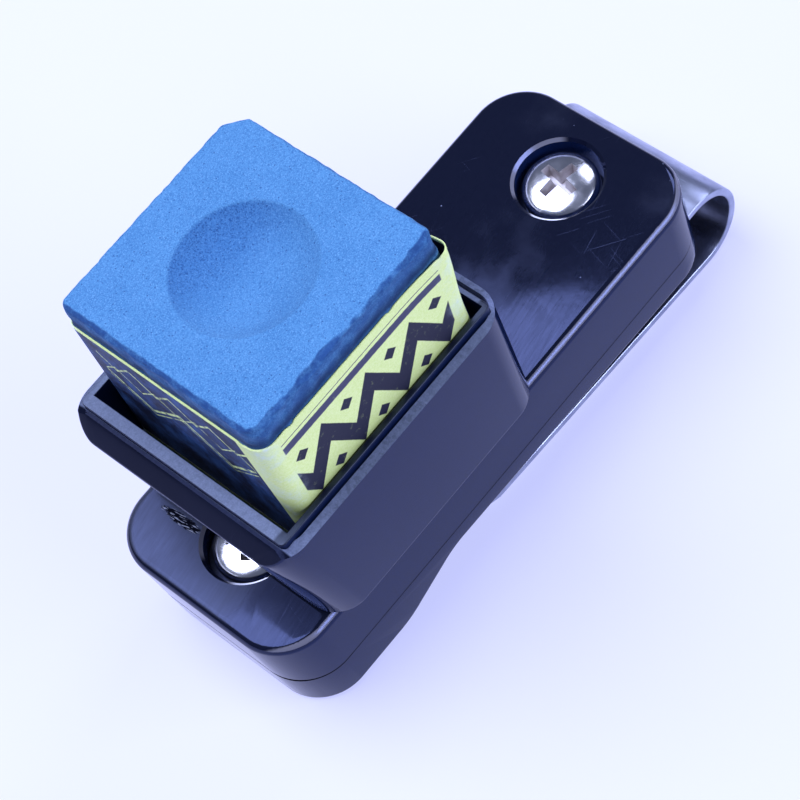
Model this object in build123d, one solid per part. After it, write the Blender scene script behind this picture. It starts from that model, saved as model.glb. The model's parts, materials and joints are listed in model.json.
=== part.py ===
from build123d import *
import os
from math import cos, degrees, radians, sin, tan

# A cue chalk holder for the belt. The case lies along X with its front edge at x = 0, Y is its left
# side and z = 0 is its flat top. Everything is drawn in that frame and then laid down on its clip.

# Case shells
case_length = 57.85
case_width = 22.7
case_corner = 5.1
case_draft = 1.0
nose_draft = 4.5
case_wall = 1.6
case_roof = 1.5
case_edge_radius = 0.9
top_height = 7.5
parting_gap = 0.06
lip_height = 1.0
lip_thickness = 0.9
fit_clearance = 0.1

# Underside of the lower shell, as depths below the case's top
nose_depth = 12.7
belly_depth = 12.6
recess_depth = 9.85
tail_depth = 10.8
belly_end = 12.6
recess_start = 19.6
ramp_radius = 7.0
floor_thickness = 1.6
underside_edge_radius = 0.6

# Case screws, one near each end, and what they turn in
front_screw_inset = 7.6
rear_screw_inset = 6.9
screw_radius = 1.5
screw_length = 7.2
screw_slack = 0.02
head_radius = 3.65
head_rim_height = 0.9
head_height = 2.2
head_drop = 0.05
cross_span = 4.1
cross_slot = 1.05
cross_depth = 1.6
cross_taper = 10
front_cross_turn = 35
rear_cross_turn = -10
counterbore_gap = 0.5
counterbore_chamfer = 0.3
screw_clearance = 0.15
post_wall = 1.1
insert_wall = 0.6
insert_length = 2.2
boss_wall = 1.3

# Belt clip: a bent strip of spring steel
clip_thickness = 0.8
clip_inset = 2.2
clip_hold = 19.85
clip_corner = 2.5
bend_reach = 0.05
bend_radius = 4.8
clip_slope = 3.6
leaf_length = 32.0
lip_radius = 2.2
lip_turn = 42.0
bend_gap = 0.04

# Chalk and its paper wrap
cup_axis_x = 19.0
chalk_side = 22.0
chalk_offset = 0.8
chalk_gap = 0.1
chalk_corner = 0.9
chalk_top_radius = 0.6
dish_radius = 6.4
dish_depth = 1.5
label_thickness = 0.12
label_fit = 0.01
label_height = 19.3

# Cup liner: the square sleeve round the chalk
chalk_front_gap = 1.57
chalk_rear_gap = 0.87
chalk_side_gap = 0.17
liner_front_wall = 1.25
liner_rear_wall = 0.5
liner_side_wall = 0.6
liner_front_lean = 0.75
liner_floor_top = 6.55
liner_floor = 1.0
liner_depth = 9.05
liner_edge_radius = 0.12
liner_corner = 0.5
liner_fit = 0.04

# Cup shell round the liner
cup_front_rim = 1.8
cup_rear_rim = 1.2
cup_side_rim = 0.95
cup_corner = 3.3
cup_front_lean = 2.15
cup_lift_gap = 0.15
cup_floor = 1.0
cup_foot_radius = 0.5
rim_drop = 0.65
rim_slope = 0.35
rim_slope_width = 0.85
bevel_drop = 0.2
bevel_height = 2.2
bevel_edge_radius = 0.45
rim_groove_rear = 0.6
rim_groove_side = 0.2
rim_groove_depth = 1.2
rim_groove_corner = 2.0

# Magnet in the case, its keeper, and the plate in the cup that it holds
magnet_radius = 6.0
magnet_thickness = 3.0
magnet_ring_wall = 1.2
keeper_overlap = 1.0
keeper_thickness = 1.0
plate_radius = 8.0
plate_thickness = 2.0
plate_clearance = 0.1
plate_stop_inset = 2.0

# Sizes and places that follow from those above
parting = -top_height
head_seat = -head_drop - head_height
counterbore_radius = head_radius + counterbore_gap
post_radius = counterbore_radius + post_wall
insert_radius = screw_radius + insert_wall
boss_radius = insert_radius + boss_wall
front_screw_x = front_screw_inset
rear_screw_x = case_length - rear_screw_inset
screw_places = (front_screw_x, rear_screw_x)
clip_width = case_width - 2 * clip_inset
clip_root_x = case_length - clip_hold
clip_top = parting + clip_thickness
bend_centre_x = case_length + bend_reach
bend_centre_z = clip_top - bend_radius
wrapped_side = chalk_side + 2 * (label_fit + label_thickness)
chalk_centre_x = cup_axis_x + chalk_offset
chalk_bottom = liner_floor_top + chalk_gap
cavity_front = chalk_centre_x - wrapped_side / 2 - chalk_front_gap
cavity_rear = chalk_centre_x + wrapped_side / 2 + chalk_rear_gap
cavity_width = wrapped_side + 2 * chalk_side_gap
liner_front = cavity_front - liner_front_wall
liner_rear = cavity_rear + liner_rear_wall
liner_width = cavity_width + 2 * liner_side_wall
liner_top = liner_floor_top + liner_depth
liner_bottom = liner_floor_top - liner_floor
cup_front = liner_front - cup_front_rim
cup_rear = liner_rear + cup_rear_rim
cup_width = liner_width + 2 * cup_side_rim
cup_foot = cup_lift_gap
cup_rim = liner_top - rim_drop
cup_shoulder = cup_rim - rim_slope
bevel_top = liner_top - bevel_drop
bevel_foot = bevel_top - bevel_height
magnet_low = -case_roof - magnet_thickness
keeper_low = magnet_low - keeper_thickness
keeper_radius = magnet_radius + keeper_overlap
plate_low = cup_foot + cup_floor + plate_clearance
plate_top = plate_low + plate_thickness
deep = 3 * nose_depth


def rounded_outline(x_front, x_rear, width, corner, z):
    """Rounded rectangle seen from above, from x_front to x_rear, at height z."""
    return Pos((x_front + x_rear) / 2, 0, z) * RectangleRounded(x_rear - x_front, width, corner)


def case_outline(inset, z):
    """The case's plan at height z, drawn in by the draft of its walls and by inset."""
    shrink = inset - z * tan(radians(case_draft))
    front = inset - z * tan(radians(nose_draft))
    return rounded_outline(front, case_length - shrink, case_width - 2 * shrink, case_corner - shrink, z)


def upright(x, radius, z_low, z_high):
    """Upright cylinder on the centre line."""
    return Pos(x, 0, (z_low + z_high) / 2) * Cylinder(radius, z_high - z_low)


def side_face(points):
    """Closed face in the XZ plane through (x, z) points."""
    return Plane.XZ * make_face(Polyline(*points, close=True))


def clip_pocket(clearance):
    """Room for the clamped leaf, open to the rear and down to the parting line."""
    length = case_length + deep - clip_root_x
    height = clip_thickness + clearance
    centre = (clip_root_x - clearance + length / 2, 0, parting + height / 2)
    return Pos(*centre) * Box(length, clip_width + 2 * clearance, height)


def make_case_top():
    """Upper shell: a drafted tray turned over, with screw posts and a ring for the magnet."""
    shell = loft([case_outline(0, 0), case_outline(0, parting)], ruled=True)
    shell = fillet(shell.faces().sort_by(Axis.Z)[-1].edges(), case_edge_radius)
    hollow = loft([case_outline(case_wall, -case_roof), case_outline(case_wall, parting)], ruled=True)
    posts = [
        upright(front_screw_x, post_radius, parting, -case_roof),
        upright(rear_screw_x, post_radius, clip_top, -case_roof),
    ]
    ring_bore = magnet_radius + fit_clearance
    ring = upright(cup_axis_x, ring_bore + magnet_ring_wall, magnet_low, -case_roof)
    ring -= upright(cup_axis_x, ring_bore, magnet_low, -case_roof)
    inner = hollow & (posts[0] + posts[1] + ring)
    magnet_room = upright(cup_axis_x, ring_bore, magnet_low, -case_roof)
    magnet_room += upright(cup_axis_x, keeper_radius + fit_clearance, parting, magnet_low)
    shell = shell - hollow + (inner - magnet_room) - clip_pocket(fit_clearance)
    for x in screw_places:
        shell -= upright(x, counterbore_radius, head_seat, 1)
        shell -= upright(x, screw_radius + screw_clearance, -deep, 1)
    circles = shell.edges().filter_by(GeomType.CIRCLE).group_by(Axis.Z)[-1]
    rims = [e for e in circles if abs(e.radius - counterbore_radius) < 0.01]
    return chamfer(rims, counterbore_chamfer)


def underside(lift):
    """Side view of what lies above the case's underside, raised by lift."""
    points = [
        (-case_length, -nose_depth + lift),
        (0, -nose_depth + lift),
        (belly_end, -belly_depth + lift),
        (recess_start, -recess_depth + lift),
        (case_length, -tail_depth + lift),
        (2 * case_length, -tail_depth + lift),
        (2 * case_length, 0),
        (-case_length, 0),
    ]
    face = side_face(points)
    ramp = [v for v in face.vertices() if belly_end - 1 < v.X < recess_start + 1]
    return extrude(fillet(ramp, ramp_radius), case_width, both=True)


def make_case_bottom():
    """Lower shell: a tray with a deep nose, a recess behind it, screw bosses and a locating lip."""
    rim = parting - parting_gap
    block = loft([case_outline(0, rim), case_outline(0, -deep)], ruled=True) & underside(0)
    faces = [f for f in block.faces() if f.normal_at().Z < -0.5]
    edges = [e for f in faces for e in f.edges()]
    outer = [e for e in edges if sum(e.is_same(other) for other in edges) == 1]
    block = fillet(outer, underside_edge_radius)
    hollow = loft([case_outline(case_wall, rim), case_outline(case_wall, -deep)], ruled=True)
    hollow &= underside(floor_thickness)
    bosses = [upright(x, boss_radius, -deep, rim) for x in screw_places]
    stop = upright(cup_axis_x, magnet_radius, -deep, keeper_low)
    stop -= upright(cup_axis_x, magnet_radius - magnet_ring_wall, -deep, keeper_low)
    lip_top = parting + lip_height
    lip_inset = case_wall + fit_clearance
    root = rim - lip_height
    lip = loft([case_outline(lip_inset, root), case_outline(lip_inset, lip_top)], ruled=True)
    lip += loft([case_outline(case_wall / 2, root), case_outline(case_wall / 2, rim)], ruled=True)
    bore_inset = lip_inset + lip_thickness
    lip -= loft([case_outline(bore_inset, root), case_outline(bore_inset, lip_top)], ruled=True)
    lip -= upright(front_screw_x, post_radius + fit_clearance, -deep, 1)
    lip_end = clip_root_x - fit_clearance + case_length / 2
    lip -= Pos(lip_end, 0, parting) * Box(case_length, case_width, 4 * lip_height)
    inner = hollow & (bosses[0] + bosses[1])
    stop &= underside(floor_thickness / 2)
    shell = block - hollow + inner + stop + lip
    for x in screw_places:
        shell -= upright(x, insert_radius, rim - insert_length, 1)
    return shell


def make_screw(x, cross_turn):
    """Round-head screw with a cross recess, standing in its seat."""
    rim = head_seat + head_rim_height
    crown = head_seat + head_height
    with BuildPart() as screw:
        with BuildSketch(Plane.XZ):
            with BuildLine():
                Line((0, head_seat), (head_radius, head_seat))
                Line((head_radius, head_seat), (head_radius, rim))
                EllipticalCenterArc((0, rim), head_radius, crown - rim, start_angle=0, arc_size=90)
                Line((0, crown), (0, head_seat))
            make_face()
        revolve(axis=Axis.Z)
    head = screw.part
    arms = Box(cross_span, cross_slot, cross_depth) + Box(cross_slot, cross_span, cross_depth)
    recess = extrude(arms.faces().sort_by(Axis.Z)[-1], -cross_depth, taper=cross_taper)
    head -= Pos(0, 0, crown - cross_depth / 2 + 0.05) * Rot(0, 0, cross_turn) * recess
    shank = upright(0, screw_radius - screw_slack, head_seat - screw_length, head_seat)
    return Pos(x, 0, 0) * (head + shank)


def make_insert(x):
    """Threaded bush, level with the top of its boss."""
    top = parting - parting_gap
    bush = upright(x, insert_radius - screw_slack, top - insert_length, top)
    return bush - upright(x, screw_radius, -deep, 1)


def bend(centre, radius, start, turn):
    """Bent length of the strip in the side view; radius is that of its outer face."""
    outer = CenterArc(centre, radius, start, turn)
    inner = CenterArc(centre, radius - clip_thickness, start, turn)
    return make_face([outer, Line(outer @ 1, inner @ 1), inner, Line(inner @ 0, outer @ 0)])


def strip_solid(faces):
    """The clip's width given to its side view."""
    profile = faces[0]
    for face in faces[1:]:
        profile += face
    return extrude(Plane.XZ * profile, clip_width / 2, both=True)


def round_strip_end(strip):
    """Round the two corners at the strip's end of lowest x, as cut in the flat blank."""
    x_low = strip.bounding_box().min.X
    blank = rounded_outline(x_low, x_low + 3 * case_length, clip_width, clip_corner, -deep)
    return strip & extrude(blank, 2 * deep)


def make_clip_base():
    """Clamped leaf and the upper quarter of the bend."""
    leaf = make_face(Polyline(
        (clip_root_x, parting),
        (bend_centre_x, parting),
        (bend_centre_x, clip_top),
        (clip_root_x, clip_top),
        close=True,
    ))
    quarter = bend((bend_centre_x, bend_centre_z), bend_radius, 90, -90)
    base = strip_solid([leaf, quarter])
    base -= upright(rear_screw_x, screw_radius + screw_clearance, -deep, 1)
    return round_strip_end(base)


def make_clip_leaf():
    """Lower part of the bend, the free leaf and its lifted lip."""
    slope = radians(clip_slope)
    centre = Vector(bend_centre_x, bend_centre_z)
    down = Vector(-sin(slope), -cos(slope))
    along = Vector(-cos(slope), sin(slope))
    outer_start = centre + down * bend_radius
    inner_start = centre + down * (bend_radius - clip_thickness)
    outer_end = outer_start + along * leaf_length
    inner_end = inner_start + along * leaf_length
    gap_turn = degrees(bend_gap / bend_radius)
    lower = bend(centre, bend_radius, -gap_turn, -90 - clip_slope + gap_turn)
    flat = make_face(Polyline(outer_start, outer_end, inner_end, inner_start, close=True))
    lip_centre = outer_end - down * lip_radius
    lip = bend(lip_centre, lip_radius, -90 - clip_slope, -lip_turn)
    return round_strip_end(strip_solid([lower, flat, lip]))


def make_cup_shell():
    """Outer cup: rounded corners, a front that leans out to a bevelled edge, a sloping rim."""
    foot = rounded_outline(cup_front + cup_front_lean, cup_rear, cup_width, cup_corner, cup_foot)
    waist = rounded_outline(cup_front, cup_rear, cup_width, cup_corner, bevel_foot)
    shoulder = rounded_outline(cup_front, cup_rear, cup_width, cup_corner, cup_shoulder)
    step = rim_slope_width
    rim = rounded_outline(cup_front + step, cup_rear - step, cup_width - 2 * step, cup_corner - step, cup_rim)
    shell = loft([foot, waist], ruled=True)
    shell += loft([waist, shoulder], ruled=True)
    shell += loft([shoulder, rim], ruled=True)
    shell = fillet(shell.faces().sort_by(Axis.Z)[0].edges(), cup_foot_radius)
    low = Vector(cup_front, bevel_foot)
    high = Vector(liner_front, bevel_top)
    along = (high - low).normalized() * cup_width
    wedge = side_face([(low - along), (high + along), Vector((low - along).X, (high + along).Y)])
    shell -= extrude(wedge, cup_width, both=True)
    bevel = [f for f in shell.faces() if f.normal_at().X < -0.4 and f.normal_at().Z > 0.4]
    shell = fillet([e for e in bevel[0].edges() if e.center().Z < cup_shoulder], bevel_edge_radius)
    shell -= liner_block(liner_fit)
    groove = rounded_outline(
        liner_front,
        liner_rear + rim_groove_rear,
        liner_width + 2 * rim_groove_side,
        rim_groove_corner,
        cup_rim - rim_groove_depth,
    )
    shell -= extrude(groove, deep)
    return shell - upright(cup_axis_x, plate_radius + plate_clearance, cup_foot + cup_floor, deep)


def liner_block(grow):
    """The liner's outside as a block whose front leans in towards its foot, grown by a clearance."""
    rear = liner_rear + grow
    width = liner_width + 2 * grow
    corner = liner_corner + grow
    foot = rounded_outline(liner_front + liner_front_lean - grow, rear, width, corner, liner_bottom)
    top = rounded_outline(liner_front - grow, rear, width, corner, liner_top)
    return loft([foot, top], ruled=True)


def make_cup_liner():
    """Square sleeve with a floor, and a tube under it that keeps the steel plate down."""
    cavity = Pos((cavity_front + cavity_rear) / 2, 0, liner_floor_top + liner_depth) * Box(
        cavity_rear - cavity_front,
        cavity_width,
        2 * liner_depth,
    )
    sleeve = liner_block(0) - cavity
    sleeve = fillet(sleeve.faces().sort_by(Axis.Z)[-1].edges(), liner_edge_radius)
    stop_radius = plate_radius - plate_stop_inset
    stop_low = plate_top + plate_clearance
    tube = upright(cup_axis_x, stop_radius, stop_low, liner_bottom)
    tube -= upright(cup_axis_x, stop_radius - liner_floor, stop_low, liner_bottom)
    return sleeve + tube


def make_chalk_cube():
    """Cube of pressed chalk with soft edges and a round dish worn in its top."""
    top = chalk_bottom + chalk_side
    cube = Pos(chalk_centre_x, 0, chalk_bottom + chalk_side / 2) * Box(chalk_side, chalk_side, chalk_side)
    cube = fillet(cube.edges().filter_by(Axis.Z), chalk_corner)
    cube = fillet(cube.faces().sort_by(Axis.Z)[-1].edges(), chalk_top_radius)
    ball_radius = (dish_radius**2 + dish_depth**2) / (2 * dish_depth)
    return cube - Pos(chalk_centre_x, 0, top - dish_depth + ball_radius) * Sphere(ball_radius)


def make_chalk_label():
    """Paper wrapped round the chalk's four sides."""
    inner = chalk_side + 2 * label_fit
    wrap = RectangleRounded(wrapped_side, wrapped_side, chalk_corner + label_fit + label_thickness)
    wrap -= RectangleRounded(inner, inner, chalk_corner + label_fit)
    return extrude(Pos(chalk_centre_x, 0, chalk_bottom) * wrap, label_height)


pieces = {
    "case_top": make_case_top(),
    "case_bottom": make_case_bottom(),
    "case_screws": Compound([
        make_screw(front_screw_x, front_cross_turn),
        make_screw(rear_screw_x, rear_cross_turn),
    ]),
    "screw_inserts": Compound([make_insert(x) for x in screw_places]),
    "case_magnet": upright(cup_axis_x, magnet_radius, magnet_low, -case_roof),
    "magnet_keeper": upright(cup_axis_x, keeper_radius, keeper_low, magnet_low),
    "clip_base": make_clip_base(),
    "clip_leaf": make_clip_leaf(),
    "cup_shell": make_cup_shell(),
    "cup_liner": make_cup_liner(),
    "cup_plate": upright(cup_axis_x, plate_radius, plate_low, plate_top),
    "chalk_cube": make_chalk_cube(),
    "chalk_label": make_chalk_label(),
}

# Lay the holder down on its clip, then bring the middle of its underside to the origin
tilt = Rot(0, -clip_slope, 0)
laid = {name: tilt * shape for name, shape in pieces.items()}
box = Compound(list(laid.values())).bounding_box()
home = Pos(-(box.min.X + box.max.X) / 2, -(box.min.Y + box.max.Y) / 2, -box.min.Z)

os.makedirs("parts", exist_ok=True)
for name, shape in laid.items():
    export_step(home * shape, f"parts/{name}.step")

# Places on the laid-down holder, for joints and mounts
places = {
    "cup axis at the case's top": (cup_axis_x, 0, 0),
    "chalk's middle": (chalk_centre_x, 0, chalk_bottom),
    "outside of the clip's bend": (bend_centre_x + bend_radius, 0, bend_centre_z),
    "case's front edge": (0, 0, 0),
    "case's rear edge": (case_length, 0, 0),
    "underside at the tail": (case_length, 0, -tail_depth),
    "underside at the recess": (recess_start, 0, -recess_depth),
}
for name, place in places.items():
    point = (home * tilt * Pos(*place)).position
    print(name, round(point.X, 4), round(point.Y, 4), round(point.Z, 4))
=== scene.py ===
# %% [markdown]
# # A belt-clip holder for cue chalk
# A holder like this is a flat plastic case that clips on a belt, a cup that a magnet holds on the
# case, and a cube of blue chalk in its paper wrap. The solids come from CAD and are a fixed frame:
# each one is in its place, in metres, and rides on the body that moves it. This lesson adds what the
# solids can't show: worn chalk, printed paper, one springy strip of steel, and every finish.

# %% Load the frame
import itertools
import json
from functools import partial

import bpy
import numpy as np
from mathutils import Matrix, Vector


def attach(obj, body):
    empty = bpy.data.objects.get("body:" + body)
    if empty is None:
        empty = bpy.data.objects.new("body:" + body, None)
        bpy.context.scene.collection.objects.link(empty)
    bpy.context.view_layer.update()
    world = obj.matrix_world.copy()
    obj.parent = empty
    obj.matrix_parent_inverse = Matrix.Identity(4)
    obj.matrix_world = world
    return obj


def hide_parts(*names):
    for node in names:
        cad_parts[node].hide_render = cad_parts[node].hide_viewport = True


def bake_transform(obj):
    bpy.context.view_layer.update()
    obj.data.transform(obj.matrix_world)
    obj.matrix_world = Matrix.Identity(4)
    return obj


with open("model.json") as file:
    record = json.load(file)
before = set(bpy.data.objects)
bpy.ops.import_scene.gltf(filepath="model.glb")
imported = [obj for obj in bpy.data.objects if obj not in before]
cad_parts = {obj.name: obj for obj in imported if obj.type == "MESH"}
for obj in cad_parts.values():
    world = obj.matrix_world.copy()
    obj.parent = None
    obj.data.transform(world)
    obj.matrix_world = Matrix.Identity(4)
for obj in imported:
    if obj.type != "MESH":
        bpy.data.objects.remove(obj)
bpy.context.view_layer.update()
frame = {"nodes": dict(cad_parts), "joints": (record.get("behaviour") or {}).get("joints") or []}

scene = bpy.context.scene
print("nodes:", sorted(frame["nodes"]))

# %% [markdown]
# ## The case's own frame
# The holder lies on its clip, so the case is tilted a little. Pieces are easier to draw in the case's
# own frame: x to the rear from the front edge, y to the left, z up from the flat top, in millimetres.
# The cup's swivel axis stands square on that top, so its joint gives both the tilt and the place.

# %% From the case's frame to the row frame
MM = 0.001
CUP_AXIS_X = 19.0
swivel = next(j for j in frame["joints"] if j["name"] == "cup_swivel")
case_up = np.array(swivel["axis"]) / np.linalg.norm(swivel["axis"])
case_left = np.array((0.0, 1.0, 0.0))
case_rear = np.cross(case_left, case_up)
case_axes = np.stack([case_rear, case_left, case_up])
case_origin = np.array(swivel["pos_m"]) - CUP_AXIS_X * MM * case_rear


def from_case(points):
    """Row-frame place: the case's origin plus x, y and z millimetres along the case's three axes."""
    return case_origin + MM * (np.asarray(points, float) @ case_axes)


print("case origin, mm:", np.round(case_origin / MM, 3))

# %% [markdown]
# ## Skins from rings
# Every new piece here is a closed ring carried along a profile or a path. The rings are one array of
# rows by columns, and the faces follow from index arithmetic, so no loop visits a vertex. The last
# column joins the first; the ends are either joined too, as in a paper band, or closed by a fan of
# triangles round one middle point. The UV map is kept per face corner, so that it doesn't run
# backwards over the seam.

# %% A mesh from rings
def skin(name, rings, joined=False, uv=None):
    """Faces between neighbouring rings: corner (row, column) is vertex row * columns + column.
    joined ties the last ring to the first; otherwise a middle point and a fan close each end.
    uv is an array of rows + joined by columns + 1 by 2, one place per grid corner."""
    rows, columns = rings.shape[:2]
    row = np.arange(rows if joined else rows - 1)[:, None]
    column = np.arange(columns)[None, :]
    down = [row + 0 * column, row + 0 * column, row + 1 + 0 * column, row + 1 + 0 * column]
    across = [column + 0 * row, column + 1 + 0 * row, column + 1 + 0 * row, column + 0 * row]
    index = [(d % rows) * columns + a % columns for d, a in zip(down, across)]
    faces = np.stack(index, axis=-1).reshape(-1, 4).tolist()
    points = rings.reshape(-1, 3)
    if not joined:
        ends = np.stack([rings[0].mean(0), rings[-1].mean(0)])
        first, last = len(points), len(points) + 1
        here = np.arange(columns)
        after = (here + 1) % columns
        top = (rows - 1) * columns
        faces += np.stack([after, here, here * 0 + first], axis=-1).tolist()
        faces += np.stack([top + here, top + after, here * 0 + last], axis=-1).tolist()
        points = np.concatenate([points, ends])
    mesh = bpy.data.meshes.new(name)
    mesh.from_pydata(points.tolist(), [], faces)
    if uv is not None:
        layer = mesh.uv_layers.new(name="UVMap")
        corners = np.stack([uv[d, a] for d, a in zip(down, across)], axis=-2)
        layer.data.foreach_set("uv", corners.astype(np.float32).ravel())
    mesh.polygons.foreach_set("use_smooth", np.ones(len(mesh.polygons), bool))
    mesh.update()
    piece = bpy.data.objects.new(name, mesh)
    scene.collection.objects.link(piece)
    print(name, "faces:", len(faces))
    return piece


# %% [markdown]
# ## Rounded rings
# The chalk, its paper and the clip's section are squares or oblongs with rounded corners. A bevel would
# give the same outline, but a formula also gives every column its fixed place on the ring, so rings of
# different sizes join without a twist.

# %% Points on a rounded ring
def ring_columns(straight, arc):
    """For each column of a rounded ring: its corner centre's share of the two half sides, from -1 to 1,
    and the angle on that corner's arc. A side is straight columns, then arc columns, four times over."""
    run = np.linspace(-1, 1, straight, endpoint=False)
    turn = np.linspace(0, np.pi / 2, arc, endpoint=False)
    share_x = np.ones(straight + arc)
    share_y = np.concatenate([run, np.ones(arc)])
    angle = np.concatenate([np.zeros(straight), turn])
    sides = []
    for quarter in range(4):
        sides.append(np.stack([share_x, share_y, angle + quarter * np.pi / 2]))
        share_x, share_y = -share_y, share_x
    return np.concatenate(sides, axis=1)


def rounded_ring(columns, half_x, half_y, corner):
    """Point = (half side - corner) * share + corner * (cos, sin) of the arc's angle. The corner's radius
    is one number, or one for each column."""
    share_x, share_y, angle = columns
    x = (half_x - corner) * share_x + corner * np.cos(angle)
    y = (half_y - corner) * share_y + corner * np.sin(angle)
    return np.stack(np.broadcast_arrays(x, y), axis=-1)


# %% [markdown]
# ## Noise for worn surfaces
# Wear is irregular, but the same script has to give the same chips each time. Numbers drawn one after
# the other would move when the mesh changes; a number hashed from a place in space stays where it is.

# %% Noise and easing
HASH_STEPS = np.array((374761393, 668265263, 1442695041))
HASH_SEED = 974634777
HASH_SCRAMBLE = 1274126177
LOW_32_BITS = 0xFFFFFFFF
LOW_16_BITS = 0xFFFF


def lattice_noise(points, size, seed):
    """Smooth noise from -1 to 1: a hashed random number on each corner of a cube lattice of that size,
    blended between the corners with the curve 3t^2 - 2t^3 along each axis."""
    scaled = np.asarray(points, float) / size
    cell = np.floor(scaled).astype(np.int64)
    t = scaled - cell
    t = t * t * (3 - 2 * t)
    total = np.zeros(scaled.shape[:-1])
    for corner in itertools.product((0, 1), repeat=3):
        key = (((cell + np.array(corner)) * HASH_STEPS).sum(-1) + seed * HASH_SEED) & LOW_32_BITS
        key = ((key ^ (key >> 13)) * HASH_SCRAMBLE) & LOW_32_BITS
        value = ((key ^ (key >> 16)) & LOW_16_BITS) / LOW_16_BITS
        total += value * np.prod(np.where(corner, t, 1 - t), axis=-1)
    return 2 * total - 1


def ease(value, low, high):
    """0 below low, 1 above high, and the smooth curve 3t^2 - 2t^3 between them."""
    t = np.clip((value - low) / (high - low), 0, 1)
    return t * t * (3 - 2 * t)


# %% [markdown]
# ## The chalk
# Cue chalk is a pressed cube that wears: the cue's tip grinds a round dish in its top, the open edges
# crumble, and the paper keeps the rest whole. A cube with a bevel would look too clean. Here rounded
# square rings climb the sides and close over the top, turning into circles where the dish begins, so
# that its rim follows a ring.

# %% Chalk rings
CHALK_SIDE = 22.0
CHALK_HALF = CHALK_SIDE / 2
CHALK_CORNER = 0.9
ROUND_CORNER = 1.5
CHALK_EDGE = 0.35
CHALK_COLUMNS = (82, 12)
CLOSE_ROWS_FROM = 19
# The top's rings, from the edge to the middle: outer reach, inner reach, number of rows
TOP_ZONES = ((CHALK_HALF - CHALK_EDGE, 8.6, 22), (8.6, 7.0, 9), (7.0, 5.6, 20), (5.6, 0.12, 34))
CIRCLE_WITHIN = 7.0
SQUARE_BEYOND = 10.4


def corner_radii(straight, arc, grown):
    """One radius per column: the front right corner, third in the ring, is rubbed rounder than the rest.
    Along a side it runs evenly from the last corner's radius to the next one's, so no column folds back."""
    here = np.array((CHALK_CORNER, CHALK_CORNER, ROUND_CORNER, CHALK_CORNER))[:, None] + grown
    share = np.concatenate([np.linspace(0, 1, straight, endpoint=False), np.ones(arc)])
    return (np.roll(here, 1, axis=0) * (1 - share) + here * share).ravel()


def chalk_profile():
    """Rows from the underside's middle to the top's middle, as (reach, height): flat underside, quarter
    circle, upright side, quarter circle, flat top."""
    turn = np.linspace(0, np.pi / 2, 6)
    flat_half, high = CHALK_HALF - CHALK_EDGE, CHALK_SIDE - CHALK_EDGE
    low = [np.linspace(0.1, flat_half, 9)[:-1], np.zeros(8)]
    low_edge = [CHALK_HALF - CHALK_EDGE * (1 - np.sin(turn)), CHALK_EDGE * (1 - np.cos(turn))]
    wide_rows = np.linspace(CHALK_EDGE, CLOSE_ROWS_FROM, 25)[1:]
    close_rows = np.linspace(CLOSE_ROWS_FROM, high, 24)[1:-1]
    heights = np.concatenate([wide_rows, close_rows])
    side = [np.full(len(heights), CHALK_HALF), heights]
    top_edge = [CHALK_HALF - CHALK_EDGE * (1 - np.cos(turn)), CHALK_SIDE - CHALK_EDGE * (1 - np.sin(turn))]
    reach = np.concatenate([np.linspace(outer, inner, rows)[1:] for outer, inner, rows in TOP_ZONES])
    top = [reach, np.full(len(reach), CHALK_SIDE)]
    return np.concatenate([low, low_edge, side, top_edge, top], axis=1)


def chalk_rings():
    """Ring = share * outline, drawn towards a circle of the same reach for the rings inside the top."""
    reach, height = chalk_profile()
    radii = corner_radii(*CHALK_COLUMNS, grown=0)
    outline = rounded_ring(ring_columns(*CHALK_COLUMNS), CHALK_HALF, CHALK_HALF, radii)
    outward = outline / np.linalg.norm(outline, axis=-1, keepdims=True)
    on_top = height > CHALK_SIDE - 1e-6
    rounder = np.where(on_top, 1 - ease(reach, CIRCLE_WITHIN, SQUARE_BEYOND), 0)[:, None, None]
    square = (reach / CHALK_HALF)[:, None, None] * outline
    circle = reach[:, None, None] * outward
    flat = square * (1 - rounder) + circle * rounder
    upright = np.broadcast_to(height[:, None, None], flat.shape[:2] + (1,))
    return np.concatenate([flat, upright], axis=-1)


clean_chalk = chalk_rings()
print("chalk rings:", clean_chalk.shape[:2])

# %% [markdown]
# ## Wear on the chalk
# A worn edge is a slanting plane: points that stand outside it are pushed back on to it, and noise makes
# the plane's place wander, which leaves chips. Sculpting would do it by hand, but a rule can be changed
# later. The wear is kept as attributes too, so that the finish knows where the chalk broke; more
# attributes say where painted shade goes: the dish's far side, the bare side above the paper, and the
# paper's edge.

# %% Worn edges
# Each worn edge or corner: the plane's direction, how far the edge is cut back, how much that wanders
WORN_PLACES = [
    ((0.0, -1.0, 1.0), 0.45, 0.4),
    ((-1.0, 0.0, 1.0), 0.5, 0.1),
    ((0.0, 1.0, 1.0), 0.25, 0.05),
    ((1.0, 0.0, 1.0), 0.25, 0.06),
    ((1.0, 1.0, 1.0), 2.1, 0.2),
    ((-1.0, 1.0, 1.0), 1.0, 0.2),
    ((1.0, -1.0, 1.0), 0.6, 0.3),
    ((-1.0, -1.0, 1.0), 1.6, 0.4),
]
LEAST_CUT = 0.1


def wear_edges(rings, grit):
    """Overrun = distance past a worn place's plane, and the point moves back by it. The second result is
    1 where the chalk is broken and 0 where it is whole."""
    points = rings.copy()
    worn = np.zeros(points.shape[:2])
    wander = 0.55 * lattice_noise(rings, 2.2, 3) + 0.45 * lattice_noise(rings, 0.7, 4)
    for direction, cut, spread in WORN_PLACES:
        away = np.array(direction)
        normal = away / np.linalg.norm(away)
        edge = np.array([CHALK_HALF * direction[0], CHALK_HALF * direction[1], CHALK_SIDE])
        back = np.maximum(cut + spread * wander, LEAST_CUT) / np.linalg.norm(away)
        overrun = (points - edge) @ normal + back + 0.04 * grit
        points -= np.maximum(overrun, 0)[..., None] * normal
        worn = np.maximum(worn, ease(overrun, -0.05, 0.1))
    return points, worn


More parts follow.
